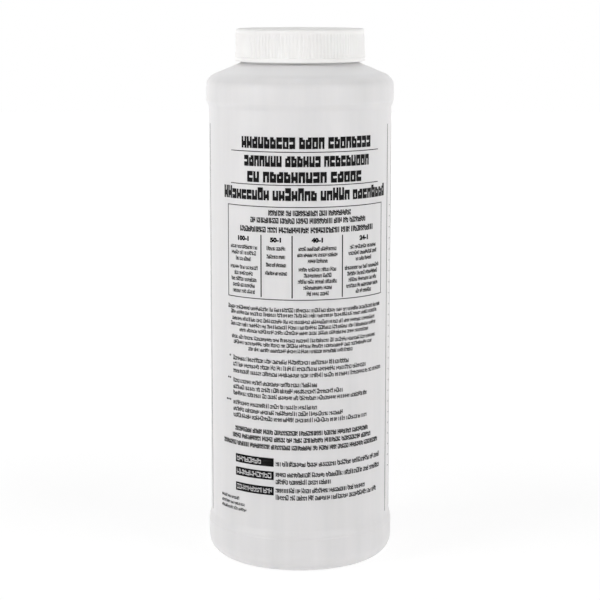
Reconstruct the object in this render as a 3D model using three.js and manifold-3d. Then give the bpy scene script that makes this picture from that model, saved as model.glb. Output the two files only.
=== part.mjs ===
// A fuel mixing bottle: a blow-moulded one-quart cylinder with a recessed print panel and a wide
// threaded neck, closed by a ribbed screw cap over a loose foam sealing disc.
// Millimetres, +Z up. The origin is the centre of the standing ring, and the front faces -Y.

import * as THREE from "three";
import { mergeVertices } from "three/addons/utils/BufferGeometryUtils.js";
import Module from "manifold-3d";

const wasm = await Module();
wasm.setup();

// Bottle body, from the floor upwards
const bodyRadius = 40.3; // outside of the two full-width bands
const bodyWall = 1.1;
const heelRadius = 8; // rounding between the floor and the lower band
const standingRingWidth = 5; // flat ring that the bottle stands on
const pushUp = 2.5; // rise of the domed floor inside the ring
const lowerBandTop = 15.3; // height at which the lower band ends
const lowerStep = 4.4; // height of the slope from the lower band in to the panel
const panelHeight = 177;
const panelRecess = 1; // how far the print panel lies inside the bands
const upperStep = 3.6; // height of the slope from the panel out to the upper band
const upperBandHeight = 5.2;
const shoulderRounding = 6; // radius of the corner above the upper band
const shoulderSlope = THREE.MathUtils.degToRad(22.9); // above the horizontal

// Neck and its single thread
const neckRadius = 25; // outside of the neck between the threads
const neckWall = 1.6;
const neckHeight = 11.7; // shoulder to rim
const neckFillet = 1;
const rimChamfer = 0.4;
const threadPitch = 4.23; // six turns to the inch
const threadTurns = 1.1;
const threadDepth = 1.1;
const threadRootWidth = 2.4;
const threadFlankRun = 0.65; // how much each flank leans over the thread's depth
const threadDrop = 1.2; // rim to the upper edge of the thread
const threadFade = 0.09; // part of a turn over which a thread's end dies away

// Closure
const threadClearance = 0.35; // radial gap between a crest and the wall that it faces
const threadPlay = 0.3; // axial gap between the flanks that bear on each other
const capThreadRootWidth = 2.2;
const capThreadLead = 0.15; // turns of cap thread below the neck thread's start
const capThreadRunout = 0.5; // plain skirt left below the cap's thread
const capWall = 0.75; // skirt at the bottom of the grooves, just under the top plate
const capDraft = 0.3; // growth of the skirt's radius from its top to its band
const capPlate = 1.4;
const capEdgeRounding = 1.2;
const capPlainEdge = 0.7; // smooth strip between the rounding and the ribs
const ribCount = 112;
const ribDepth = 0.35;
const ribTipShare = 0.35; // part of the ribs' spacing that a rib's tip takes
const ribRootShare = 0.65; // part of it that a rib's root takes
const bandHeight = 1.7; // smooth band round the skirt's open edge
const bandStep = 0.15; // how far the band stands out past the ribs
const bandChamfer = 0.3;
const skirtGap = 1.15; // skirt's open edge to the shoulder below it
const discThickness = 1;
const discClearance = 0.3; // disc's edge to the cap's skirt
const seatGap = 0.1; // between the disc and each face that it seals against

// How finely round forms are divided
const roundSegments = 64;
const cornerSteps = 5;
const stepSteps = 4;
const domeSteps = 4;
const filletSteps = 2;
const sink = 0.2; // how far a joined piece is let into its carrier

// Sizes that follow from the ones above
const panelRadius = bodyRadius - panelRecess;
const panelBottom = lowerBandTop + lowerStep;
const panelTop = panelBottom + panelHeight;
const upperBandBottom = panelTop + upperStep;
const upperBandTop = upperBandBottom + upperBandHeight;
const ringOuter = bodyRadius - heelRadius;
const ringInner = ringOuter - standingRingWidth;
const neckBore = neckRadius - neckWall;
const shoulderStart = pointOnShoulderCorner(shoulderRounding, shoulderSlope);
const shoulderRoot = shoulderHeight(neckRadius);
const rimHeight = shoulderRoot + neckHeight;

const capBore = neckRadius + threadDepth + threadClearance;
const grooveTop = capBore + capWall;
const ribTipTop = grooveTop + ribDepth;
const bandRadius = ribTipTop + capDraft + bandStep;
const plateUnderside = rimHeight + seatGap + discThickness + seatGap;
const skirtBottom = shoulderHeight(capBore) + skirtGap;
const skirtDepth = plateUnderside - skirtBottom;

const flankSlope = threadFlankRun / threadDepth;
const threadTopCentre = rimHeight - threadDrop - threadRootWidth / 2;
const threadStartCentre = threadTopCentre - threadPitch * threadTurns;
// With equal flanks, the sum of the two threads' half widths is the same at every radius.
const threadOffset =
  (threadRootWidth + capThreadRootWidth) / 2 - flankSlope * (capBore - neckRadius) + threadPlay;

// Point (radius, height) on the corner arc above the upper band, for an arc radius and the angle
// that the surface makes with the horizontal there.
function pointOnShoulderCorner(arcRadius, slope) {
  const centre = bodyRadius - shoulderRounding;
  return new THREE.Vector2(
    centre + arcRadius * Math.sin(slope),
    upperBandTop + arcRadius * Math.cos(slope),
  );
}

// Height of the shoulder's outer face at a radius.
function shoulderHeight(radius) {
  return shoulderStart.y + (shoulderStart.x - radius) * Math.tan(shoulderSlope);
}

// Points along an arc, both ends included.
function arc(centreR, centreZ, radius, fromAngle, toAngle, steps) {
  return Array.from({ length: steps + 1 }, (_, i) => {
    const angle = THREE.MathUtils.lerp(fromAngle, toAngle, i / steps);
    return [centreR + radius * Math.cos(angle), centreZ + radius * Math.sin(angle)];
  });
}

// Points of a smooth S from one radius to another, both ends included.
function softStep(fromR, toR, fromZ, toZ) {
  return Array.from({ length: stepSteps + 1 }, (_, i) => {
    const t = i / stepSteps;
    return [
      THREE.MathUtils.lerp(fromR, toR, THREE.MathUtils.smoothstep(t, 0, 1)),
      THREE.MathUtils.lerp(fromZ, toZ, t),
    ];
  });
}

// A closed geometry as a solid that can be joined and cut. Triangles that close up at the axis are
// dropped.
function toSolid(geometry) {
  const bare = geometry.index ? geometry.toNonIndexed() : geometry.clone();
  bare.deleteAttribute("normal");
  bare.deleteAttribute("uv");
  const merged = mergeVertices(bare);
  const index = merged.index.array;
  const kept = [];
  for (let i = 0; i < index.length; i += 3) {
    const [a, b, c] = [index[i], index[i + 1], index[i + 2]];
    if (a !== b && b !== c && c !== a) kept.push(a, b, c);
  }
  return new wasm.Manifold(
    new wasm.Mesh({
      numProp: 3,
      vertProperties: merged.getAttribute("position").array,
      triVerts: new Uint32Array(kept),
    }),
  );
}

// A solid as a geometry.
function toGeometry(solid) {
  const mesh = solid.getMesh();
  const geometry = new THREE.BufferGeometry();
  geometry.setAttribute("position", new THREE.BufferAttribute(mesh.vertProperties, 3));
  geometry.setIndex(new THREE.BufferAttribute(mesh.triVerts, 1));
  geometry.computeVertexNormals();
  return geometry;
}

// A solid turned from a list of [radius, height] points, about +Z.
function turned(points) {
  const profile = points.map(([r, z]) => new THREE.Vector2(r, z));
  return toSolid(new THREE.LatheGeometry(profile, roundSegments).rotateX(Math.PI / 2));
}

// A thread ridge: a bar of trapezoid section, extruded straight and then wound round the axis.
// side is 1 for a ridge that stands out of a wall, and -1 for one that stands in from it.
// centreAt gives the height of the ridge's middle at an angle.
function threadRidge({ wallRadius, side, rootWidth, fromTurn, toTurn, centreAt }) {
  const crestWidth = rootWidth - 2 * threadFlankRun;
  const section = new THREE.Shape([
    new THREE.Vector2(-rootWidth / 2 - flankSlope * sink, -sink),
    new THREE.Vector2(rootWidth / 2 + flankSlope * sink, -sink),
    new THREE.Vector2(crestWidth / 2, threadDepth),
    new THREE.Vector2(-crestWidth / 2, threadDepth),
  ]);
  const turns = toTurn - fromTurn;
  const geometry = new THREE.ExtrudeGeometry(section, {
    depth: turns,
    steps: Math.round(turns * roundSegments),
    bevelEnabled: false,
  });
  const position = geometry.getAttribute("position");
  for (let i = 0; i < position.count; i++) {
    const along = position.getZ(i);
    const fade = THREE.MathUtils.clamp(Math.min(along, turns - along) / threadFade, 0, 1);
    const stand = position.getY(i);
    const height = stand > 0 ? THREE.MathUtils.lerp(-sink / 2, stand, fade) : stand;
    const angle = 2 * Math.PI * (fromTurn + along);
    const radius = wallRadius + side * height;
    position.setXYZ(
      i,
      radius * Math.cos(angle),
      radius * Math.sin(angle),
      centreAt(fromTurn + along) + side * position.getX(i),
    );
  }
  return toSolid(geometry);
}

// Height of the neck thread's middle, counted in turns from its lower end.
function neckThreadCentre(turn) {
  return threadStartCentre + threadPitch * turn;
}

// The outer face of the bottle, from the middle of its floor to the rim.
function outerProfile() {
  const dome = Array.from({ length: domeSteps }, (_, i) => {
    const share = i / domeSteps;
    return [ringInner * share, pushUp * (1 - share * share)];
  });
  const filletTangent = neckFillet / Math.tan((Math.PI / 2 + shoulderSlope) / 2);
  return [
    ...dome,
    [ringInner, 0],
    ...arc(ringOuter, heelRadius, heelRadius, -Math.PI / 2, 0, cornerSteps + 1),
    ...softStep(bodyRadius, panelRadius, lowerBandTop, panelBottom),
    ...softStep(panelRadius, bodyRadius, panelTop, upperBandBottom),
    ...arc(
      bodyRadius - shoulderRounding,
      upperBandTop,
      shoulderRounding,
      0,
      Math.PI / 2 - shoulderSlope,
      cornerSteps,
    ),
    ...arc(
      neckRadius + neckFillet,
      shoulderRoot + filletTangent,
      neckFillet,
      Math.PI + Math.PI / 2 - shoulderSlope,
      Math.PI,
      filletSteps,
    ),
    [neckRadius, rimHeight - rimChamfer],
    [neckRadius - rimChamfer, rimHeight],
  ];
}

// The inner face of the bottle, one wall inside the outer face, from the rim to the middle of its floor.
function innerProfile() {
  const innerCorner = pointOnShoulderCorner(shoulderRounding - bodyWall, shoulderSlope);
  const boreRoot = innerCorner.y + (innerCorner.x - neckBore) * Math.tan(shoulderSlope);
  const dome = Array.from({ length: domeSteps }, (_, i) => {
    const share = 1 - (i + 1) / domeSteps;
    return [ringInner * share, bodyWall + pushUp * (1 - share * share)];
  });
  return [
    [neckBore + rimChamfer, rimHeight],
    [neckBore, rimHeight - rimChamfer],
    [neckBore, boreRoot],
    ...arc(
      bodyRadius - shoulderRounding,
      upperBandTop,
      shoulderRounding - bodyWall,
      Math.PI / 2 - shoulderSlope,
      0,
      cornerSteps - 1,
    ),
    ...softStep(bodyRadius - bodyWall, panelRadius - bodyWall, upperBandBottom, panelTop),
    ...softStep(panelRadius - bodyWall, bodyRadius - bodyWall, panelBottom, lowerBandTop),
    ...arc(ringOuter, heelRadius, heelRadius - bodyWall, 0, -Math.PI / 2, cornerSteps),
    [ringInner, bodyWall],
    ...dome,
  ];
}

// The bottle: one blown shell with its thread.
function bottleGeometry() {
  const shell = turned([...outerProfile(), ...innerProfile()]);
  const ridge = threadRidge({
    wallRadius: neckRadius,
    side: 1,
    rootWidth: threadRootWidth,
    fromTurn: 0,
    toTurn: threadTurns,
    centreAt: neckThreadCentre,
  });
  // The ridge stops where the neck does.
  const reach = neckRadius + threadDepth + sink;
  const neckSpan = turned([
    [0, shoulderRoot],
    [reach, shoulderRoot],
    [reach, rimHeight - rimChamfer],
    [0, rimHeight - rimChamfer],
  ]);
  return toGeometry(shell.add(ridge.intersect(neckSpan)));
}

// A ring of ribs as tall as the ribbed part of the skirt, widening downwards with the skirt's draft.
function ribRing(height) {
  const step = (2 * Math.PI) / ribCount;
  const tipHalf = (ribTipShare * step) / 2;
  const rootHalf = (ribRootShare * step) / 2;
  const outline = new THREE.Shape(
    Array.from({ length: ribCount }, (_, i) =>
      [
        [grooveTop, -rootHalf],
        [ribTipTop, -tipHalf],
        [ribTipTop, tipHalf],
        [grooveTop, rootHalf],
      ].map(([radius, offset]) => {
        const angle = i * step + offset;
        return new THREE.Vector2(radius * Math.cos(angle), radius * Math.sin(angle));
      }),
    ).flat(),
  );
  const hole = new THREE.Path();
  hole.absarc(0, 0, grooveTop - capWall / 2, 0, 2 * Math.PI, true);
  outline.holes.push(hole);
  const geometry = new THREE.ExtrudeGeometry(outline, {
    depth: height,
    curveSegments: roundSegments,
    bevelEnabled: false,
  });
  const position = geometry.getAttribute("position");
  for (let i = 0; i < position.count; i++) {
    const radius = Math.hypot(position.getX(i), position.getY(i));
    const grow = 1 + (capDraft * (1 - position.getZ(i) / height)) / radius;
    position.setXY(i, position.getX(i) * grow, position.getY(i) * grow);
  }
  return toSolid(geometry);
}

// The cap, with the underside of its top plate at height 0 and its skirt hanging below.
function capGeometry() {
  const ribTop = capPlate - capEdgeRounding - capPlainEdge;
  const bandTop = bandHeight - skirtDepth;
  const wallTop = grooveTop - sink;
  const wallBottom = wallTop + capDraft;
  const body = turned([
    [0, 0],
    [capBore, 0],
    [capBore, bandChamfer - skirtDepth],
    [capBore + bandChamfer, -skirtDepth],
    [bandRadius - bandChamfer, -skirtDepth],
    [bandRadius, bandChamfer - skirtDepth],
    [bandRadius, bandTop],
    [wallBottom, bandTop],
    [wallTop, ribTop],
    [ribTipTop, ribTop],
    ...arc(
      ribTipTop - capEdgeRounding,
      capPlate - capEdgeRounding,
      capEdgeRounding,
      0,
      Math.PI / 2,
      cornerSteps,
    ),
    [0, capPlate],
  ]);
  const ribs = ribRing(ribTop - bandTop + 2 * sink).translate([0, 0, bandTop - sink]);
  const ridge = threadRidge({
    wallRadius: capBore,
    side: -1,
    rootWidth: capThreadRootWidth,
    fromTurn: -capThreadLead,
    toTurn: threadTurns,
    centreAt: (turn) => neckThreadCentre(turn) - threadOffset - plateUnderside,
  });
  // The ridge stops short of the skirt's open edge and of the disc.
  const reach = capBore + sink;
  const skirtSpan = turned([
    [0, capThreadRunout - skirtDepth],
    [reach, capThreadRunout - skirtDepth],
    [reach, -discThickness - 2 * seatGap],
    [0, -discThickness - 2 * seatGap],
  ]);
  return toGeometry(body.add(ribs).add(ridge.intersect(skirtSpan)));
}

// The sealing disc, with its underside at height 0.
function discGeometry() {
  const radius = capBore - discClearance;
  return toGeometry(
    turned([
      [0, 0],
      [radius, 0],
      [radius, discThickness],
      [0, discThickness],
    ]),
  );
}

// Natural polyethylene, white polypropylene and pale foam.
const bottlePlastic = new THREE.MeshStandardMaterial({ color: 0xe4e4e4, roughness: 0.4, metalness: 0 });
const capPlastic = new THREE.MeshStandardMaterial({ color: 0xf2f0ee, roughness: 0.45, metalness: 0 });
const discFoam = new THREE.MeshStandardMaterial({ color: 0xe9e6df, roughness: 0.9, metalness: 0 });

function namedMesh(name, geometry, material) {
  const mesh = new THREE.Mesh(geometry, material);
  mesh.name = name;
  return mesh;
}

const bottle = namedMesh("bottle", bottleGeometry(), bottlePlastic);
const cap = namedMesh("screw_cap", capGeometry(), capPlastic);
const disc = namedMesh("sealing_disc", discGeometry(), discFoam);

// The closure stands on the rim: the disc first, then the cap over it.
const closure = new THREE.Group();
closure.position.z = rimHeight;
disc.position.z = seatGap;
cap.position.z = plateUnderside - rimHeight;
closure.add(disc, cap);

const part = new THREE.Group();
part.add(bottle, closure);

export default part;
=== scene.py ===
import math
import bpy
import numpy as np
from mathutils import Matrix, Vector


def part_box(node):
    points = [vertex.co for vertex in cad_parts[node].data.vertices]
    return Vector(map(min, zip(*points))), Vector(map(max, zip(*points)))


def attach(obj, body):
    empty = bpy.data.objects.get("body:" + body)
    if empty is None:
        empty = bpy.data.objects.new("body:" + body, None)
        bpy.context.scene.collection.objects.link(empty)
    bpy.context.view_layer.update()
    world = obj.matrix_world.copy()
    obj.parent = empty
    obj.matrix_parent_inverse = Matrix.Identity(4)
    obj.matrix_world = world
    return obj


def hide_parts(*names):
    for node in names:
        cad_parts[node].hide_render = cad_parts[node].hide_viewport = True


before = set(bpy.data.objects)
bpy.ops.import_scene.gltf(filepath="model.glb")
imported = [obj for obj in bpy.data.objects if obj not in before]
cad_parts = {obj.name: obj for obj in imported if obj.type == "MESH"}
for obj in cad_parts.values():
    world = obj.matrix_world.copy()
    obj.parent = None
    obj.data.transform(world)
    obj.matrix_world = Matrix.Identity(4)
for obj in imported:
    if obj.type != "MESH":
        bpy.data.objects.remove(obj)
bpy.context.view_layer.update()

# Bottle: one shell of natural high-density polyethylene, blown inside two mould halves from a hot tube
# of plastic. The halves leave a fine parting line up each side and a pinched seam across the floor. The
# lower band ends in a small crisp lip, and the neck carries one right-hand thread. Lengths are in
# millimetres.
MM = 0.001
bottle_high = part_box("bottle")[1]
band_radius = bottle_high.x / MM
rim_height = bottle_high.z / MM
body_wall = 1.1
heel_radius = 8.0
standing_ring = 5.0
push_up = 2.5
lower_band_top = 15.3
lip_depth = 0.18
lip_run = 0.5
panel_bottom = 19.7
panel_top = 196.7
panel_recess = 1.0
upper_band_bottom = 200.3
upper_band_top = 205.5
shoulder_rounding = 6.0
shoulder_slope = 22.9
neck_radius = 25.0
neck_wall = 1.6
neck_fillet = 1.0
rim_rounding = 0.4
thread_pitch = 4.23
thread_turns = 1.1
thread_depth = 1.1
thread_root = 2.4
thread_flank = 0.65
thread_drop = 1.2
thread_fade = 0.09
parting_height = 0.1
parting_width = 0.3
seam_depth = 0.35
seam_width = 0.5
panel_waviness = 0.05

panel_radius = band_radius - panel_recess
ring_outer = band_radius - heel_radius
ring_inner = ring_outer - standing_ring
corner_radius = band_radius - shoulder_rounding
slope = math.radians(shoulder_slope)


def straight(from_r, from_z, to_r, to_z, count):
    """Evenly spaced (radius, height) points on a line, both ends included."""
    return np.column_stack([np.linspace(from_r, to_r, count), np.linspace(from_z, to_z, count)])


def arc(centre_r, centre_z, radius, from_degrees, to_degrees, count):
    """Points of an arc: its centre plus the radius times the cosine and sine of evenly spaced angles."""
    angle = np.radians(np.linspace(from_degrees, to_degrees, count))
    return np.column_stack([centre_r + radius * np.cos(angle), centre_z + radius * np.sin(angle)])


def soft_step(from_r, to_r, from_z, to_z, count):
    """An S between two radii: the height runs evenly, and the radius follows 3t^2 - 2t^3."""
    t = np.linspace(0, 1, count)
    return np.column_stack([from_r + (to_r - from_r) * t * t * (3 - 2 * t), from_z + (to_z - from_z) * t])


def shoulder_height(radius, wall=0.0):
    """Height of the shoulder's cone at a radius, for a face that lies wall inside the outer one."""
    arc_radius = shoulder_rounding - wall
    start_r = corner_radius + arc_radius * math.sin(slope)
    return upper_band_top + arc_radius * math.cos(slope) + (start_r - radius) * math.tan(slope)


def smooth(low, high, value):
    """0 below low, 1 above high, and 3t^2 - 2t^3 between them."""
    t = np.clip((value - low) / (high - low), 0, 1)
    return t * t * (3 - 2 * t)


def thread_ridge(height, angle, top_centre, root, turns, first_turn=0.0):
    """How far a right-hand thread stands off its wall, from 0 to 1. Turn by turn, the distance to the
    helix top_centre - pitch * (turns - turn) decides: 1 on the crest, 0 off the root, sloped between."""
    share = (angle / (2 * math.pi)) % 1
    stand = np.zeros(np.broadcast(height, angle).shape)
    for lap in range(math.floor(first_turn), math.ceil(turns)):
        turn = share + lap
        distance = np.abs(height - (top_centre - thread_pitch * (turns - turn)))
        ridge = 1 - smooth(root / 2 - thread_flank, root / 2, distance)
        fade = np.clip(np.minimum(turn - first_turn, turns - turn) / thread_fade, 0, 1)
        stand = np.maximum(stand, ridge * fade)
    return stand


def panel_swell(angle, height):
    """How far the print panel lies off a true cylinder: two slow waves round it, faded to nothing at its
    two ends, always inwards."""
    window = smooth(panel_bottom, panel_bottom + 25, height) * smooth(-panel_top, 25 - panel_top, -height)
    wave = 0.6 * np.sin(2 * angle + 0.9) + 0.4 * np.sin(3 * angle + 0.03 * height)
    return panel_waviness * window * (wave - 1)


def put_mesh(name, points, faces):
    """A smooth-shaded mesh object from points in millimetres."""
    mesh = bpy.data.meshes.new(name)
    mesh.from_pydata((points * MM).tolist(), [], faces)
    mesh.polygons.foreach_set("use_smooth", np.ones(len(mesh.polygons), bool))
    mesh.update()
    piece = bpy.data.objects.new(name, mesh)
    bpy.context.scene.collection.objects.link(piece)
    return piece


def turned_piece(name, profile, angle, start_height, end_height, swell=0.0, lift=0.0):
    """A closed surface of revolution. Point (i, j) lies at radius profile[i, 0] + swell[i, j] and height
    profile[i, 1] + lift[i, j], at angle[j] round +Z, and a single point on the axis closes each end."""
    radius = profile[:, :1] + np.zeros_like(angle) + swell
    height = profile[:, 1:] + np.zeros_like(angle) + lift
    rings = np.stack([radius * np.cos(angle), radius * np.sin(angle), height], axis=-1).reshape(-1, 3)
    points = np.concatenate([rings, [[0, 0, start_height], [0, 0, end_height]]])
    index = np.arange(len(rings)).reshape(radius.shape)
    beside = np.roll(index, -1, axis=1)
    quads = np.stack([index[:-1], beside[:-1], beside[1:], index[1:]], axis=-1).reshape(-1, 4)
    start = np.stack([np.full_like(index[0], len(rings)), beside[0], index[0]], axis=-1)
    end = np.stack([index[-1], beside[-1], np.full_like(index[0], len(rings) + 1)], axis=-1)
    return put_mesh(name, points, quads.tolist() + start.tolist() + end.tolist())


# The floor's dome, from near the middle out to the standing ring
dome_radius = np.linspace(1.5, ring_inner, 14)
dome = np.column_stack([dome_radius, push_up * (1 - (dome_radius / ring_inner) ** 2)])
fillet_tangent = neck_fillet / math.tan((math.pi / 2 + slope) / 2)
neck_root = shoulder_height(neck_radius)
bore_radius = neck_radius - neck_wall
outer_profile = np.concatenate([
    dome,
    arc(ring_outer, heel_radius, heel_radius, -90, 0, 16),
    straight(band_radius, lower_band_top - 0.1, band_radius, lower_band_top, 2),
    straight(band_radius - 0.02, lower_band_top + 0.02,
             band_radius - lip_depth, lower_band_top + lip_run, 4),
    soft_step(band_radius - lip_depth, panel_radius, lower_band_top + lip_run + 0.1, panel_bottom, 14),
    straight(panel_radius, panel_bottom, panel_radius, panel_top, 44)[1:-1],
    soft_step(panel_radius, band_radius, panel_top, upper_band_bottom, 14),
    arc(corner_radius, upper_band_top, shoulder_rounding, 0, 90 - shoulder_slope, 14),
    straight(corner_radius + shoulder_rounding * math.sin(slope),
             upper_band_top + shoulder_rounding * math.cos(slope),
             neck_radius + neck_fillet, shoulder_height(neck_radius + neck_fillet), 6)[1:-1],
    arc(neck_radius + neck_fillet, neck_root + fillet_tangent, neck_fillet, 270 - shoulder_slope, 180, 6),
    straight(neck_radius, neck_root + fillet_tangent, neck_radius, rim_height - rim_rounding, 76)[1:],
    arc(neck_radius - rim_rounding, rim_height - rim_rounding, rim_rounding, 0, 90, 5)[1:],
])
inner_profile = np.concatenate([
    arc(bore_radius + rim_rounding, rim_height - rim_rounding, rim_rounding, 90, 180, 5),
    straight(bore_radius, rim_height - rim_rounding,
             bore_radius, shoulder_height(bore_radius, body_wall), 4)[1:],
    arc(corner_radius, upper_band_top, shoulder_rounding - body_wall, 90 - shoulder_slope, 0, 10),
    soft_step(band_radius - body_wall, panel_radius - body_wall, upper_band_bottom, panel_top, 9),
    straight(panel_radius - body_wall, panel_top, panel_radius - body_wall, panel_bottom, 12)[1:-1],
    soft_step(panel_radius - body_wall, band_radius - body_wall, panel_bottom, lower_band_top, 9),
    arc(ring_outer, heel_radius, heel_radius - body_wall, 0, -90, 10),
    dome[::-1] + [0, body_wall],
])
bottle_profile = np.concatenate([outer_profile, inner_profile])

# Even steps round the bottle, with finer ones where the two parting lines stand
fine_steps = np.array([-0.9, -0.5, -0.25, 0, 0.25, 0.5, 0.9]) / band_radius
bottle_angle = np.linspace(0, 2 * math.pi, 225)[:-1]
bottle_angle = np.unique(np.round(np.concatenate([
    bottle_angle, fine_steps % (2 * math.pi), math.pi + fine_steps]), 6))

outside = np.zeros((len(bottle_profile), 1))
outside[:len(outer_profile)] = 1
profile_r, profile_z = bottle_profile[:, :1], bottle_profile[:, 1:]
beside_plane = profile_r * np.sin(bottle_angle)
line = np.exp(-((beside_plane / parting_width) ** 2)) * outside
inside_bands = smooth(3, 8, profile_z) * smooth(-rim_height, 6 - rim_height, -profile_z)
neck_wall_rows = (profile_r == neck_radius) * outside
thread_top = rim_height - thread_drop - thread_root / 2
neck_thread = thread_ridge(profile_z, bottle_angle, thread_top, thread_root, thread_turns)
bottle_swell = (
    parting_height * line * inside_bands * (profile_r < band_radius - 0.2)
    + panel_swell(bottle_angle, profile_z) * outside * (profile_r < band_radius)
    + thread_depth * neck_wall_rows * neck_thread
)
seam = np.exp(-((beside_plane / seam_width) ** 2)) * outside * (profile_z < push_up + 0.1)
seam_window = smooth(-ring_inner, 6 - ring_inner, -profile_r) * (profile_r < ring_inner)
bottle_lift = -seam_depth * seam * seam_window
bottle = turned_piece("bottle_shell", bottle_profile, bottle_angle, push_up - seam_depth,
                      push_up + body_wall, bottle_swell, bottle_lift)


def linear(hex_colour, alpha=1.0):
    """An sRGB hex colour as linear red, green, blue and alpha."""
    share = np.array([int(hex_colour[i:i + 2], 16) for i in (1, 3, 5)]) / 255
    scene = np.where(share <= 0.04045, share / 12.92, ((share + 0.055) / 1.055) ** 2.4)
    return (*scene.tolist(), alpha)


def add_node(tree, kind, links=(), **settings):
    """Adds a shader node. A setting is one of the node's properties, or else an input, with _ for each
    space; a link is (input, output socket)."""
    node = tree.nodes.new(kind)
    for key, value in settings.items():
        if hasattr(node, key):
            setattr(node, key, value)
        else:
            node.inputs[key.replace("_", " ")].default_value = value
    for socket, output in links:
        tree.links.new(output, node.inputs[socket])
    return node


def two_tones(ramp, low_place, low_colour, high_place, high_colour):
    """Sets the two ends of a colour ramp."""
    low, high = ramp.color_ramp.elements
    low.position, low.color = low_place, linear(low_colour)
    high.position, high.color = high_place, linear(high_colour)


def new_material(name):
    """An empty node material for one named finish, and its node tree."""
    material = bpy.data.materials.new(name)
    material.use_nodes = True
    material.node_tree.nodes.clear()
    return material, material.node_tree


# Natural polyethylene: milky and a little see-through, so light spreads inside the wall and softens every
# shade. The blown tube leaves faint upright streaks, and the mould a fine orange-peel skin. The shoulder
# is painted whiter, a painted highlight that stands in for the brighter light it catches from above.
streak_width = 9 * MM
streak_length_share = 0.08
peel_size = 1.4 * MM
polyethylene, tree = new_material("natural_polyethylene_blow_moulded")
place = add_node(tree, "ShaderNodeTexCoord").outputs["Object"]
stretched = add_node(tree, "ShaderNodeMapping", [("Vector", place)], Scale=(1, 1, streak_length_share))
streaks = add_node(tree, "ShaderNodeTexNoise", [("Vector", stretched.outputs["Vector"])],
                   Scale=1 / streak_width, Detail=3.0, Roughness=0.55)
tint = add_node(tree, "ShaderNodeValToRGB", [("Fac", streaks.outputs["Fac"])])
two_tones(tint, 0.3, "#DEDDDD", 0.7, "#E6E4E4")
upward = add_node(tree, "ShaderNodeSeparateXYZ", [("Vector", place)]).outputs["Z"]
# Painted light: from 208.5 to 212 mm up, the colour blends to near-white, a painted highlight on the
# shoulder
shoulder_painted_light = add_node(tree, "ShaderNodeMapRange", [("Value", upward)], From_Min=208.5 * MM, From_Max=212 * MM)
tone_with_painted_light = add_node(tree, "ShaderNodeMix", [("Factor", shoulder_painted_light.outputs["Result"]), ("A", tint.outputs["Color"])],
                 data_type="RGBA", B=linear("#F8F7F7"))
peel = add_node(tree, "ShaderNodeTexNoise", [("Vector", place)], Scale=1 / peel_size, Detail=2.0)
gloss = add_node(tree, "ShaderNodeMapRange", [("Value", peel.outputs["Fac"])], To_Min=0.38, To_Max=0.46)
skin = add_node(tree, "ShaderNodeBump", [("Height", peel.outputs["Fac"])],
                Strength=0.25, Distance=0.02 * MM)
surface = add_node(tree, "ShaderNodeBsdfPrincipled",
                   [("Base Color", tone_with_painted_light.outputs["Result"]), ("Roughness", gloss.outputs["Result"]),
                    ("Normal", skin.outputs["Normal"])],
                   IOR=1.54, Specular_IOR_Level=0.4, Subsurface_Weight=0.3,
                   Subsurface_Radius=(1.0, 0.95, 0.85), Subsurface_Scale=3 * MM)
add_node(tree, "ShaderNodeOutputMaterial", [("Surface", surface.outputs["BSDF"])])
bottle.data.materials.append(polyethylene)
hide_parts("bottle")
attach(bottle, "bottle")

# Screw cap: injection-moulded white polypropylene in one piece, with fine grip ribs, a plain band round
# its open edge, a softly rounded top edge, and the mating thread inside. The gate leaves a small spot in
# the middle of the top.
cap_low, cap_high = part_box("screw_cap")
disc_low, disc_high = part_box("sealing_disc")
band_edge_radius = cap_high.x / MM
skirt_bottom = cap_low.z / MM
cap_top = cap_high.z / MM
seat_gap = 0.1
plate_underside = disc_high.z / MM + seat_gap
cap_bore = disc_high.x / MM + 0.3
band_height = 1.7
band_step = 0.15
band_rounding = 0.3
skirt_draft = 0.3
rib_depth = 0.25
rib_count = 112
steps_per_rib = 8
cap_edge_rounding = 1.2
plain_edge = 0.2
rib_end_run = 0.35
rib_fade_run = 1.4
cap_thread_root = 2.2
cap_thread_lead = 0.15
thread_play = 0.3
top_dish = 0.12
gate_radius = 1.6
gate_depth = 0.15

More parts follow.
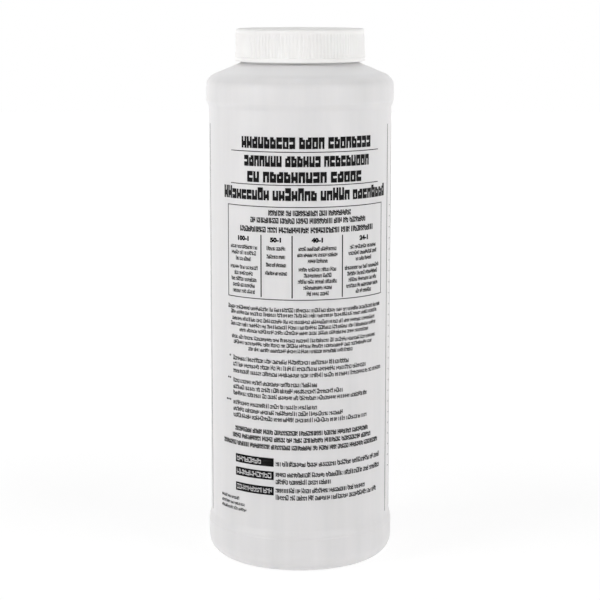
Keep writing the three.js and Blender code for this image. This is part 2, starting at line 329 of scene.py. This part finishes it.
band_top = skirt_bottom + band_height
rib_top = cap_top - cap_edge_rounding - plain_edge
rib_tip_radius = band_edge_radius - band_step - skirt_draft
edge_centre_r = rib_tip_radius - cap_edge_rounding
edge_centre_z = cap_top - cap_edge_rounding
top_radius = np.concatenate([np.linspace(edge_centre_r, gate_radius + 0.4, 8)[1:],
                             gate_radius + np.array([0.1, -0.1, -0.4, -0.9])])
top_height = cap_top - top_dish * smooth(-edge_centre_r, -edge_centre_r + 4, -top_radius)
top_height -= gate_depth * smooth(-gate_radius - 0.2, -gate_radius + 0.2, -top_radius)
inner_wall_bottom = skirt_bottom + band_rounding
cap_profile = np.concatenate([
    straight(3, plate_underside, cap_bore - 0.5, plate_underside, 4),
    arc(cap_bore - 0.5, plate_underside - 0.5, 0.5, 90, 0, 4)[1:],
    straight(cap_bore, plate_underside - 0.5, cap_bore, inner_wall_bottom, 42)[1:],
    arc(cap_bore + band_rounding, inner_wall_bottom, band_rounding, 180, 270, 4)[1:],
    arc(band_edge_radius - band_rounding, inner_wall_bottom, band_rounding, 270, 360, 4),
    straight(band_edge_radius, band_top - 0.25, band_edge_radius, band_top - 0.12, 2),
    straight(band_edge_radius - 0.05, band_top - 0.04, band_edge_radius - band_step, band_top, 2),
    straight(band_edge_radius - band_step, band_top + 0.03,
             rib_tip_radius + 0.27, band_top + rib_end_run, 5),
    straight(rib_tip_radius + 0.27, band_top + rib_end_run, rib_tip_radius, rib_top - rib_fade_run, 4)[1:],
    straight(rib_tip_radius, rib_top - rib_fade_run, rib_tip_radius, rib_top, 7)[1:],
    arc(edge_centre_r, edge_centre_z, cap_edge_rounding, 0, 90, 9),
    np.column_stack([top_radius, top_height]),
])
cap_angle = np.arange(rib_count * steps_per_rib) * 2 * math.pi / (rib_count * steps_per_rib)
cap_r, cap_z = cap_profile[:, :1], cap_profile[:, 1:]

# A rib's share of its pitch: a flat tip, sloped sides, and a groove, with ends that die away
across_rib = np.abs((cap_angle * rib_count / (2 * math.pi) + 0.5) % 1 - 0.5)
groove = smooth(0.175, 0.325, across_rib)
outer_rows = cap_r > cap_bore + 0.5
rib_window = (smooth(band_top, band_top + rib_end_run, cap_z)
              * smooth(-rib_top, rib_fade_run - rib_top, -cap_z))
flank_slope = thread_flank / thread_depth
thread_offset = (thread_root + cap_thread_root) / 2 - flank_slope * (cap_bore - neck_radius) + thread_play
cap_thread = thread_ridge(cap_z, cap_angle, thread_top - thread_offset, cap_thread_root, thread_turns,
                          -cap_thread_lead)
runout = smooth(skirt_bottom + 0.5, skirt_bottom + 0.8, cap_z)
cap_swell = (-rib_depth * groove * rib_window * outer_rows
             - thread_depth * cap_thread * runout * (cap_r == cap_bore))
cap = turned_piece("cap_shell", cap_profile, cap_angle, plate_underside, top_height[-1], cap_swell)

# White polypropylene: denser and whiter than the bottle, with a fine spark-eroded grain from the mould.
grain_size = 0.35 * MM
cloud_size = 14 * MM
polypropylene, tree = new_material("white_polypropylene_moulded")
place = add_node(tree, "ShaderNodeTexCoord").outputs["Object"]
grain = add_node(tree, "ShaderNodeTexNoise", [("Vector", place)], Scale=1 / grain_size, Detail=2.0)
cloud = add_node(tree, "ShaderNodeTexNoise", [("Vector", place)], Scale=1 / cloud_size, Detail=2.0)
tint = add_node(tree, "ShaderNodeValToRGB", [("Fac", cloud.outputs["Fac"])])
two_tones(tint, 0.3, "#F4F2F0", 0.7, "#F8F7F5")
gloss = add_node(tree, "ShaderNodeMapRange", [("Value", grain.outputs["Fac"])], To_Min=0.38, To_Max=0.48)
skin = add_node(tree, "ShaderNodeBump", [("Height", grain.outputs["Fac"])],
                Strength=0.3, Distance=0.01 * MM)
surface = add_node(tree, "ShaderNodeBsdfPrincipled",
                   [("Base Color", tint.outputs["Color"]), ("Roughness", gloss.outputs["Result"]),
                    ("Normal", skin.outputs["Normal"])],
                   IOR=1.49, Subsurface_Weight=0.3, Subsurface_Radius=(1.0, 0.97, 0.92),
                   Subsurface_Scale=3 * MM)
add_node(tree, "ShaderNodeOutputMaterial", [("Surface", surface.outputs["BSDF"])])
cap.data.materials.append(polypropylene)
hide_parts("screw_cap")
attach(cap, "cap")

# Sealing disc: punched from a sheet of foamed polyethylene, and loose in the cap. Its cut edge bulges a
# little where the punch let go.
edge_bulge = 0.08
disc_bottom, disc_top = disc_low.z / MM, disc_high.z / MM
disc_radius = disc_high.x / MM
disc_profile = np.concatenate([
    straight(2, disc_bottom, disc_radius - 0.15, disc_bottom, 8),
    np.column_stack([disc_radius - edge_bulge + edge_bulge * np.sin(np.linspace(0, math.pi, 6)),
                     np.linspace(disc_bottom + 0.06, disc_top - 0.06, 6)]),
    straight(disc_radius - 0.15, disc_top, 2, disc_top, 8),
])
disc_angle = np.linspace(0, 2 * math.pi, 161)[:-1]
disc = turned_piece("foam_disc", disc_profile, disc_angle, disc_bottom, disc_top)

# Foamed polyethylene: matt and off-white, with cells that show as a fine pebbled skin.
cell_size = 0.5 * MM
foam, tree = new_material("foamed_polyethylene_sheet")
place = add_node(tree, "ShaderNodeTexCoord").outputs["Object"]
cells = add_node(tree, "ShaderNodeTexVoronoi", [("Vector", place)], Scale=1 / cell_size)
skin = add_node(tree, "ShaderNodeBump", [("Height", cells.outputs["Distance"])],
                Strength=0.5, Distance=0.05 * MM)
tint = add_node(tree, "ShaderNodeValToRGB", [("Fac", cells.outputs["Distance"])])
two_tones(tint, 0.0, "#EDEAE3", 0.8, "#E2DED5")
surface = add_node(tree, "ShaderNodeBsdfPrincipled",
                   [("Base Color", tint.outputs["Color"]), ("Normal", skin.outputs["Normal"])],
                   IOR=1.5, Roughness=0.85)
add_node(tree, "ShaderNodeOutputMaterial", [("Surface", surface.outputs["BSDF"])])
disc.data.materials.append(foam)
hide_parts("sealing_disc")
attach(disc, "disc")

# Front print: one pass of black screen ink on the flame-treated panel, with rules, a box, solid bars,
# ratio numbers, and rows of made-up letters that spell nothing. A place on the panel is (u, z): u
# millimetres to the right of the print's middle, z above the floor.
print_turn = math.radians(5.8)
ink_height = 0.05
ink_depth = 0.05
longest_chord = 1.6


def on_panel(u, z, lift, turn):
    """Wraps (u, z) on the panel: at turn + u / panel_radius from the front, towards +X, the radius is the
    panel's own, waves included, plus lift."""
    angle = turn + u / panel_radius - math.pi / 2
    radius = panel_radius + panel_swell(angle, z) + lift
    return np.stack([radius * np.cos(angle), radius * np.sin(angle), z + 0 * radius], axis=-1)


def ink_bars(name, bars, turn):
    """Closed curved slabs, one for each (left, bottom, right, top). Each is cut into equal chords round the
    panel; a cut has four corners, taken under and over the skin at the bottom and then at the top."""
    bars = np.array(bars, float)
    chords = np.ceil((bars[:, 2] - bars[:, 0]) / longest_chord).astype(int)
    points, faces, used = [], [], 0
    for count in np.unique(chords):
        left, bottom, right, top = bars[chords == count].T[:, :, None]
        u = left + (right - left) * np.linspace(0, 1, count + 1)
        low, high = bottom + 0 * u, top + 0 * u
        corners = np.stack([
            on_panel(u, low, -ink_depth, turn), on_panel(u, low, ink_height, turn),
            on_panel(u, high, ink_height, turn), on_panel(u, high, -ink_depth, turn)], axis=2)
        index = used + np.arange(corners[..., 0].size).reshape(corners.shape[:3])
        around = np.roll(index, -1, axis=2)
        sides = np.stack([index[:, :-1], index[:, 1:], around[:, 1:], around[:, :-1]], axis=-1)
        faces += sides.reshape(-1, 4).tolist() + index[:, 0].tolist() + index[:, -1, ::-1].tolist()
        points.append(corners.reshape(-1, 3))
        used += corners[..., 0].size
    return put_mesh(name, np.concatenate(points), faces)


# A made-up letter has a left stem, a middle and a right stem, each five cells high, inked where marked.
# Several of the dense ones come close to real capitals; which one comes next is drawn at random.
open_forms = ["XXXXX .X... XX.XX", "XX.XX ...X. XXXXX", "XXXXX ..X.. .XXXX", "XXXX. X.X.. XXXXX",
              "XXXXX .X.X. X.XXX", "XXX.X X...X XXXXX", ".XXXX X..X. XXXX.", "XXXXX ..... XXXXX"]
dense_forms = ["XXXXX X..XX XXXXX", "XXXXX XX.XX XX.XX", "XX.XX XX.XX XXXXX", "XXXXX ...XX XXXXX",
               "XXXXX XX... XXXXX", "XXXXX .XX.. XXXXX", "XXXXX XX.XX XXXX.", "XXXX. XX.XX XXXXX"]
strokes = np.random.default_rng(7)
letter_share = 0.89
word_gap = 0.5
small_share = 0.78
riser_share = 0.25


def type_row(left, right, middle, height, pitch, stem, forms=open_forms, small=False, cut=False):
    """Bars for one row of made-up letters: groups of two to nine letters, a letter every pitch, stretched to
    end at right. stem is a stem's share of a letter. Small letters stand lower, some with a riser. A cut
    row has ink round its letters in place of in them."""
    bars, u = [], 0.0
    width = letter_share * pitch
    base = middle - height / 2
    while u < right - left:
        for _ in range(strokes.integers(2, 10)):
            columns = forms[strokes.integers(len(forms))].split()
            tall = not small or strokes.random() < riser_share
            cell = height * (1.0 if tall else small_share) / 5
            if cut:
                columns = [column.translate(str.maketrans("X.", ".X")) for column in columns]
                bars.append([u + width, base, u + pitch, base + height])
            edges = u + width * np.array([0, stem, 1 - stem, 1])
            for column, cells in enumerate(columns):
                runs = cells.split(".")
                start = 0
                for run in runs:
                    if run:
                        bars.append([edges[column], base + start * cell,
                                     edges[column + 1], base + (start + len(run)) * cell])
                    start += len(run) + 1
            u += pitch
        if not cut:
            u += word_gap * pitch
    bars = np.array(bars)
    bars[:, [0, 2]] = left + bars[:, [0, 2]] * (right - left) / bars[:, 2].max()
    return bars.tolist()


def frame_bars(left, bottom, right, top, line):
    """Four bars that outline a box; the uprights run between the two level ones."""
    return [[left, top - line, right, top], [left, bottom, right, bottom + line],
            [left, bottom + line, left + line, top - line],
            [right - line, bottom + line, right, top - line]]


# Stem widths as shares of a letter, and the width of a printed rule in millimetres
bold, medium, plain, light, thin = 0.37, 0.35, 0.31, 0.26, 0.21
rule = 0.32
front_bars = [[-36.2, 180.3, 34.8, 180.3 + rule], [-36.5, 166.6, 34.8, 166.6 + rule]]
front_bars += type_row(-30.1, 29.3, 184.2, 4.8, 2.83, bold, dense_forms)
front_bars += type_row(-28.8, 28.3, 176.6, 4.5, 2.85, bold, dense_forms)
front_bars += type_row(-27.3, 23.9, 170.0, 4.5, 3.0, bold, dense_forms)
front_bars += type_row(-41.0, 40.6, 163.0, 5.3, 2.65, bold, dense_forms, small=True)

# The ratio table: three bold lines, four columns of fine lines, and the three rules between them
box_left, box_right, box_bottom, box_top = -38.6, 38.2, 118.6, 157.8
front_bars += frame_bars(box_left, box_bottom, box_right, box_top, rule)
front_bars += [[u, 119.6, u + 0.45, 145.8] for u in (-21.0, -7.5, 14.2)]
front_bars += type_row(-17.4, 18.4, 155.2, 2.3, 1.38, medium)
front_bars += type_row(-25.8, 26.3, 152.0, 2.3, 1.38, medium)
front_bars += type_row(-31.1, 31.1, 148.1, 2.4, 1.4, medium)
fine_row = 2.55
column_rows = {
    -29.7: [(0, 14.2), (1, 13.0), (2, 8.0), (3.4, 14.6), (4.4, 9.8), (5.4, 13.5), (6.4, 11.8), (7.4, 11.8)],
    -14.2: [(0, 8.0), (1.36, 7.9), (2.72, 8.7), (4.08, 9.5)],
    3.5: [(0, 16.2), (1, 17.2), (2, 8.4), (3.4, 16.0), (4.4, 11.7), (5.4, 16.7), (6.4, 12.1), (7.4, 9.3)],
    25.7: [(0, 15.3), (1, 16.6), (2, 9.2), (3.4, 20.2), (4.4, 17.9), (5.4, 16.5), (6.4, 18.8), (7.4, 9.1)],
}
for column_middle, rows in column_rows.items():
    stem = light if column_middle < -20 else plain
    for row, width in rows:
        front_bars += type_row(column_middle - width / 2, column_middle + width / 2,
                               140.4 - row * fine_row, 1.8, 0.95, stem, small=True)

# The directions: eight justified lines, then three groups of three beside their marks
for left, right, middle in [(-38.7, 37.0, 114.5), (-36.9, 34.4, 112.3), (-36.1, 32.8, 109.6),
                            (-37.0, 33.6, 107.2), (-31.8, 28.5, 104.9), (-36.4, 33.3, 101.7),
                            (-35.3, 30.9, 99.4), (-27.1, 19.6, 97.1)]:
    front_bars += type_row(left, right, middle, 1.75, 0.97, light, small=True)
for group_top, ends in [(92.4, (17.6, 27.1, 38.1)), (82.7, (3.2, 14.8, 27.8)), (73.1, (3.2, 14.8, 27.8))]:
    for row, right in enumerate(ends):
        front_bars += type_row(-35.7, right, group_top - 2.75 * row, 2.0, 1.1, light, small=True)
    marks = 1 + round((92.4 - group_top) / 9.7)
    front_bars += [[-38.0 - 1.1 * mark, group_top + 0.3, -37.3 - 1.1 * mark, group_top + 1.0]
                   for mark in range(marks)]
front_bars += type_row(-34.6, 28.6, 61.8, 2.0, 1.2, medium)
front_bars += type_row(-36.2, 30.5, 58.7, 2.0, 1.2, medium)
front_bars += type_row(-42.4, 35.7, 55.4, 2.0, 1.2, medium)

# Three solid bars with made-up letters left open in them, each with its lines to the right, and three
# small lines low on the left
bar_left, bar_right, bar_height, strip = -34.4, -15.3, 3.7, 0.75
word_start = -33.8
for bottom, word_end in [(46.9, -21.0), (41.1, -16.2), (34.4, -16.0)]:
    word_low, word_high = bottom + strip, bottom + bar_height - strip
    front_bars += [[bar_left, bottom, bar_right, word_low],
                   [bar_left, word_high, bar_right, bottom + bar_height],
                   [bar_left, word_low, word_start, word_high], [word_end, word_low, bar_right, word_high]]
    front_bars += type_row(word_start, word_end, bottom + bar_height / 2, 2.2, 1.85, thin, cut=True)
for right, middle in [(37.4, 48.4), (37.5, 43.8), (9.4, 40.6), (26.9, 36.9), (34.8, 33.7)]:
    front_bars += type_row(-14.4, right, middle, 2.3, 1.15, plain, small=True)
for right, middle in [(-32.6, 30.9), (-29.5, 28.5), (-28.6, 26.2)]:
    front_bars += type_row(-44.6, right, middle, 1.5, 1.0, light, small=True)
front_print = ink_bars("front_print", front_bars, print_turn)

# Screen ink: dense black with a soft gloss, and a little uneven where the squeegee ran thin.
film_size = 0.8 * MM
ink, tree = new_material("black_screen_ink")
place = add_node(tree, "ShaderNodeTexCoord").outputs["Object"]
film = add_node(tree, "ShaderNodeTexNoise", [("Vector", place)], Scale=1 / film_size, Detail=3.0)
tint = add_node(tree, "ShaderNodeValToRGB", [("Fac", film.outputs["Fac"])])
two_tones(tint, 0.35, "#070708", 0.75, "#0E0E10")
gloss = add_node(tree, "ShaderNodeMapRange", [("Value", film.outputs["Fac"])], To_Min=0.2, To_Max=0.28)
surface = add_node(tree, "ShaderNodeBsdfPrincipled",
                   [("Base Color", tint.outputs["Color"]), ("Roughness", gloss.outputs["Result"])],
                   IOR=1.5, Specular_IOR_Level=0.08)
add_node(tree, "ShaderNodeOutputMaterial", [("Surface", surface.outputs["BSDF"])])


def finish_ink(piece):
    """Gives a print piece its ink and fixes it to the bottle."""
    piece.data.materials.append(ink)
    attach(piece, "bottle")


finish_ink(front_print)


def ink_numbers(name, labels, turn, weight, stretch=1.0):
    """Plain numbers as closed curved slabs: each (text, u, z, height) is set in the built-in face, centred
    on (u, z), and every outline point is wrapped on the panel, its depth becoming the ink's thickness."""
    points, faces, used = [], [], 0
    for text, u, z, height in labels:
        curve = bpy.data.curves.new(name, "FONT")
        curve.body, curve.align_x, curve.align_y = text, "CENTER", "CENTER"
        curve.size, curve.extrude, curve.offset, curve.resolution_u = 1.0, 0.5, weight, 3
        holder = bpy.data.objects.new(name, curve)
        bpy.context.scene.collection.objects.link(holder)
        mesh = bpy.data.meshes.new_from_object(holder.evaluated_get(bpy.context.evaluated_depsgraph_get()))
        co = np.array([v.co for v in mesh.vertices])
        scale = height / np.ptp(co[:, 1])
        lift = np.where(co[:, 2] > 0, ink_height, -ink_depth)
        points.append(on_panel(u + co[:, 0] * scale * stretch, z + co[:, 1] * scale, lift, turn))
        faces += [[used + i for i in polygon.vertices] for polygon in mesh.polygons]
        used += len(co)
        bpy.data.objects.remove(holder)
        bpy.data.meshes.remove(mesh)
        bpy.data.curves.remove(curve)
    piece = put_mesh(name, np.concatenate(points), faces)
    piece.data.polygons.foreach_set("use_smooth", np.zeros(len(piece.data.polygons), bool))
    return piece


ratios = ["100-1", "50-1", "40-1", "24-1"]
ratio_labels = [(text, u, 143.8, 2.1) for text, u in zip(ratios, (-29.6, -14.1, 3.5, 25.8))]
finish_ink(ink_numbers("ratio_numbers", ratio_labels, print_turn, 0.065, 1.12))

# Measuring chart: the same ink round the back. Each ratio has a column whose steps are the oil for one
# more litre of fuel, or two in the leanest, worked out from the bottle's bore, and the last column counts
# millilitres. The marks start above the rounded heel.
chart_turn = math.radians(177)
upright_half = 72.8
chart_half = 62.0
chart_bottom, chart_top = 20.6, 190.4
chart_head = 8.0
inside_area = math.pi * (panel_radius - body_wall) ** 2
height_of_millilitre = 1000 / inside_area
litre = 1000
millilitre_step = 25
empty_level = 4.0
ladder_bottom = 25.0
ladder_top = chart_top - chart_head - 3
column_width = 2 * chart_half / 5
mark_inset, mark_line = 2.0, 0.3
long_mark, short_mark = 9.0, 4.5
number_place, number_height, title_height = 16.5, 2.2, 3.0
chart_bars = [[-upright_half, chart_bottom, rule - upright_half, chart_top],
              [upright_half - rule, chart_bottom, upright_half, chart_top]]
chart_bars += [[-68.6, z, -66.6, z + 0.22] for z in np.arange(40, 160, 4.8)]
chart_bars += frame_bars(-chart_half, chart_bottom, chart_half, chart_top, rule)
chart_bars += [[-chart_half + rule, chart_top - chart_head,
                chart_half - rule, chart_top - chart_head + rule]]
chart_labels = []
for column, ratio in enumerate((100, 50, 40, 24, 0)):
    left = -chart_half + column * column_width
    if column:
        chart_bars += [[left - rule / 2, chart_bottom + rule, left + rule / 2, chart_top - chart_head]]
    litres = 2 if ratio == 100 else 1
    step = height_of_millilitre * (litres * litre / ratio if ratio else millilitre_step)
    first = math.ceil((ladder_bottom - empty_level) / step)
    last = math.floor((ladder_top - empty_level) / step)
    for number in range(first, last + 1):
        z = empty_level + number * step
        major = number % (2 if step > 8 else 4) == 0
        mark_left = left + mark_inset
        mark_right = mark_left + (long_mark if major else short_mark)
        chart_bars += [[mark_left, z - mark_line / 2, mark_right, z + mark_line / 2]]
        if major:
            value = number * (litres if ratio else millilitre_step)
            chart_labels += [(str(value), left + number_place, z, number_height)]
    title = f"{ratio}-1" if ratio else "0-800"
    chart_labels += [(title, left + column_width / 2, chart_top - chart_head / 2 + 0.1, title_height)]
finish_ink(ink_bars("chart_lines", chart_bars, chart_turn))
finish_ink(ink_numbers("chart_numbers", chart_labels, chart_turn, 0.01))

# Stage: a pale paper floor that keeps the bottle's shadow, and white all round it, lit by five softboxes.
# None of it is part of the bottle. The camera, a glossy surface and a see-through one find both white; all
# other light finds them as dim as in a small studio.
floor_half = 3000
floor_gap = 0.1
floor = put_mesh("floor", np.array([[-1, -1, 0], [1, -1, 0], [1, 1, 0], [-1, 1, 0]]) * floor_half
                 - [0, 0, floor_gap], [[0, 1, 2, 3]])


def by_ray(tree, for_light, for_sight):
    """The second shader for camera, glossy and transmission rays, and the first for all others."""
    seen = add_node(tree, "ShaderNodeLightPath")
    sharp = add_node(tree, "ShaderNodeMath",
                     [(0, seen.outputs["Is Glossy Ray"]), (1, seen.outputs["Is Transmission Ray"])],
                     operation="MAXIMUM")
    either = add_node(tree, "ShaderNodeMath",
                      [(0, seen.outputs["Is Camera Ray"]), (1, sharp.outputs["Value"])], operation="MAXIMUM")
    mixed = add_node(tree, "ShaderNodeMixShader",
                     [("Fac", either.outputs["Value"]), (1, for_light), (2, for_sight)])
    return mixed.outputs["Shader"]


paper, tree = new_material("white_paper_sweep")
place = add_node(tree, "ShaderNodeTexCoord").outputs["Object"]
away = add_node(tree, "ShaderNodeVectorMath", [("Vector", place)], operation="LENGTH").outputs["Value"]
glow = add_node(tree, "ShaderNodeMapRange", [("Value", away)],
                From_Min=0.15, From_Max=0.7, To_Min=0.83, To_Max=1.0)
matt = add_node(tree, "ShaderNodeBsdfDiffuse", Color=linear("#F0F0F0"))
spill = add_node(tree, "ShaderNodeEmission", Strength=0.22)
lit = add_node(tree, "ShaderNodeAddShader", [(0, matt.outputs["BSDF"]), (1, spill.outputs["Emission"])])
faint = add_node(tree, "ShaderNodeBsdfDiffuse", Color=linear("#8A8A8A"))
white = add_node(tree, "ShaderNodeEmission", [("Strength", glow.outputs["Result"])])
shown = add_node(tree, "ShaderNodeAddShader", [(0, faint.outputs["BSDF"]), (1, white.outputs["Emission"])])
mixed = by_ray(tree, lit.outputs["Shader"], shown.outputs["Shader"])
add_node(tree, "ShaderNodeOutputMaterial", [("Surface", mixed)])
floor.data.materials.append(paper)

world = bpy.data.worlds.new("light_tent")
bpy.context.scene.world = world
world.use_nodes = True
tree = world.node_tree
tree.nodes.clear()
direction = add_node(tree, "ShaderNodeTexCoord").outputs["Generated"]
depth = add_node(tree, "ShaderNodeSeparateXYZ", [("Vector", direction)]).outputs["Y"]
level = add_node(tree, "ShaderNodeMapRange", [("Value", depth)],
                 From_Min=-0.9, From_Max=0.4, To_Min=0.04, To_Max=0.36)
glow = add_node(tree, "ShaderNodeBackground", [("Strength", level.outputs["Result"])], Color=(1, 1, 1, 1))
white = add_node(tree, "ShaderNodeBackground", Color=(1, 1, 1, 1), Strength=1.0)
mixed = by_ray(tree, glow.outputs["Background"], white.outputs["Background"])
add_node(tree, "ShaderNodeOutputWorld", [("Surface", mixed)])


def softbox(name, turn, distance, height, width, tall, radiance):
    """A rectangular lamp at turn degrees from the front towards +X, aimed at the bottle's middle. Its power
    is pi times its area times the radiance that a reflection of it shows."""
    lamp = bpy.data.lights.new(name, "AREA")
    lamp.shape, lamp.size, lamp.size_y = "RECTANGLE", width, tall
    lamp.energy = math.pi * width * tall * radiance
    holder = bpy.data.objects.new(name, lamp)
    angle = math.radians(turn)
    holder.location = (distance * math.sin(angle), -distance * math.cos(angle), height)
    aim = -holder.location.copy()
    aim.z += 0.115
    holder.rotation_euler = aim.to_track_quat("-Z", "Y").to_euler()
    bpy.context.scene.collection.objects.link(holder)


softbox("left_softbox", -60, 1.2, 0.45, 0.6, 1.2, 4.4)
softbox("right_softbox", 52, 1.2, 0.45, 0.75, 1.2, 3.3)
softbox("top_softbox", 0, 0.15, 1.5, 1.0, 1.0, 0.4)
softbox("back_left_softbox", -145, 1.3, 0.5, 0.9, 1.2, 0.35)
softbox("back_right_softbox", 145, 1.3, 0.5, 0.9, 1.2, 0.35)

# In front of the bottle and a little above its cap, looking down, so that it fills the frame
camera_data = bpy.data.cameras.new("camera")
camera = bpy.data.objects.new("camera", camera_data)
bpy.context.scene.collection.objects.link(camera)
camera_data.sensor_width = 36
camera_data.lens = 111.3
camera.location = (0, -0.802, 0.246)
camera.rotation_euler = (math.radians(90 - 9.46), 0, 0)
bpy.context.scene.camera = camera
bpy.context.scene.view_settings.view_transform = "Standard"
